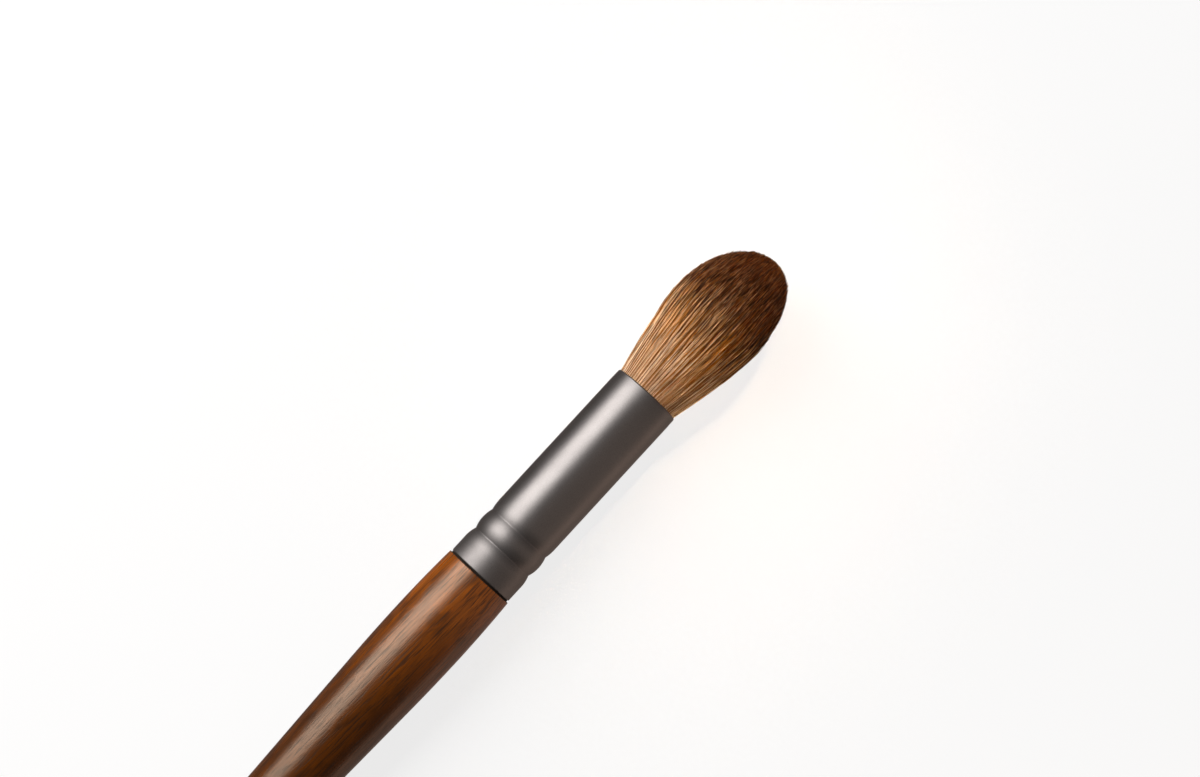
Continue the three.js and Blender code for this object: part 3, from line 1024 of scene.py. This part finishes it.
# %% [markdown]
# ## Light
# One soft box stands to the upper left, and draws the single band along the ferrule and the handle. A
# lamp or a sun would draw a thin, hard line on a round tube, while a wide rectangle draws a broad band
# with soft edges. Three small cards help it: a fill over the dark side, a narrow beam along the tuft, and
# a strip low down that gives the tuft a light edge. None of them shows to the camera, and only the soft
# box and the fill are mirrored in the gloss. The room is dim, so the far side of the brush stays dark.

# %% Room
world = bpy.data.worlds.new("dim_studio")
bpy.context.scene.world = world
world.use_nodes = True
tree = world.node_tree
tree.nodes.clear()
seen = node(tree, "ShaderNodeLightPath", {}, out="Is Camera Ray")
room = node(tree, "ShaderNodeBackground", {"Color": linear("#fff0ec"), "Strength": 0.06})
backdrop = node(tree, "ShaderNodeBackground", {"Color": linear("#ffffff"), "Strength": 1.0})
sky = node(tree, "ShaderNodeMixShader", {0: seen, 1: room, 2: backdrop})
node(tree, "ShaderNodeOutputWorld", {"Surface": sky})
print("made", world.name)

# %% Soft box
KEY_TURN = math.radians(53.7)
# The soft box faces a place this far in front of the ferrule's middle
KEY_AHEAD = 20


def soft_card(name, watts, colour, sides, direction, distance, target, spread=180, mirrored=False):
    """A rectangle of light, first side along the brush, facing a target on the axis from a direction."""
    data = bpy.data.lights.new(name, "AREA")
    data.shape = "RECTANGLE"
    data.size, data.size_y = sides
    data.spread = math.radians(spread)
    data.energy = watts
    data.color = linear(colour)[:3]
    card = bpy.data.objects.new(name, data)
    bpy.context.scene.collection.objects.link(card)
    away = Vector(direction).normalized()
    upward = away.cross(Vector((1, 0, 0))).normalized()
    matrix = Matrix((upward.cross(away), upward, away)).transposed().to_4x4()
    matrix.translation = Vector(placed(target, 0, 0)) + away * distance
    card.matrix_world = matrix
    card.visible_camera = False
    card.visible_glossy = mirrored
    print(name, "of", sides, "m at", distance, "m")


soft_card(
    "soft_box",
    watts=5.62,
    colour="#ffffff",
    sides=(0.42, 0.55),
    direction=(0, math.sin(KEY_TURN), math.cos(KEY_TURN)),
    distance=0.6,
    target=FERRULE_BACK / 2 + KEY_AHEAD,
    mirrored=True,
)

# %% Three small cards
# A weak fill over the dark side, which shows in wood and metal as a faint sheen
soft_card(
    "fill_card",
    watts=0.041,
    colour="#ffeee2",
    sides=(0.09, 0.34),
    direction=(0, -0.67, 0.74),
    distance=0.17,
    target=-12,
    mirrored=True,
)
# A narrow beam along the tuft, which brings out single strands
soft_card(
    "hair_card",
    watts=0.0135,
    colour="#ffdcb8",
    sides=(0.06, 0.06),
    direction=(0.55, 0.25, 0.79),
    distance=0.4,
    target=22,
    spread=13,
)
# A strip low down beside the tuft, which lights its dark edge
soft_card(
    "rim_card",
    watts=0.0024,
    colour="#fff0c4",
    sides=(0.03, 0.004),
    direction=(0, -0.92, -0.38),
    distance=0.018,
    target=11.5,
    spread=56,
)

# %% [markdown]
# ## Camera
# The picture looks down on the brush, which runs up to the right. The brush could be turned under a
# straight camera, but it has to stay in the frame's axes, so the camera turns instead. Its matrix is
# built from three directions at right angles: right, up, and back from what it looks at. That is surer
# than three angles, whose order is easy to get wrong.

# %% Camera
# Millimetres: the camera stands behind the place it looks at, and so looks a little towards the tip
CAMERA_HEIGHT = 500.0
CAMERA_TURN = math.radians(47.29)
STAND_ALONG = -34.0
AIM_ALONG = -4.8
STAND_ACROSS = 6.7
LENS = 86.2
SENSOR = 36

stand = Vector(placed(STAND_ALONG, STAND_ACROSS, CAMERA_HEIGHT))
aim = Vector(placed(AIM_ALONG, STAND_ACROSS, 0))
look_back = (stand - aim).normalized()
right = Vector((math.cos(CAMERA_TURN), -math.sin(CAMERA_TURN), 0))
right = (right - right.dot(look_back) * look_back).normalized()
camera_matrix = Matrix((right, look_back.cross(right), look_back)).transposed().to_4x4()
camera_matrix.translation = stand
camera_data = bpy.data.cameras.new("camera")
camera_data.lens = LENS
camera_data.sensor_width = SENSOR
camera = bpy.data.objects.new("camera", camera_data)
bpy.context.scene.collection.objects.link(camera)
camera.matrix_world = camera_matrix
bpy.context.scene.camera = camera
bpy.context.scene.view_settings.view_transform = "Standard"
print("camera stands", CAMERA_HEIGHT, "mm above the axis")
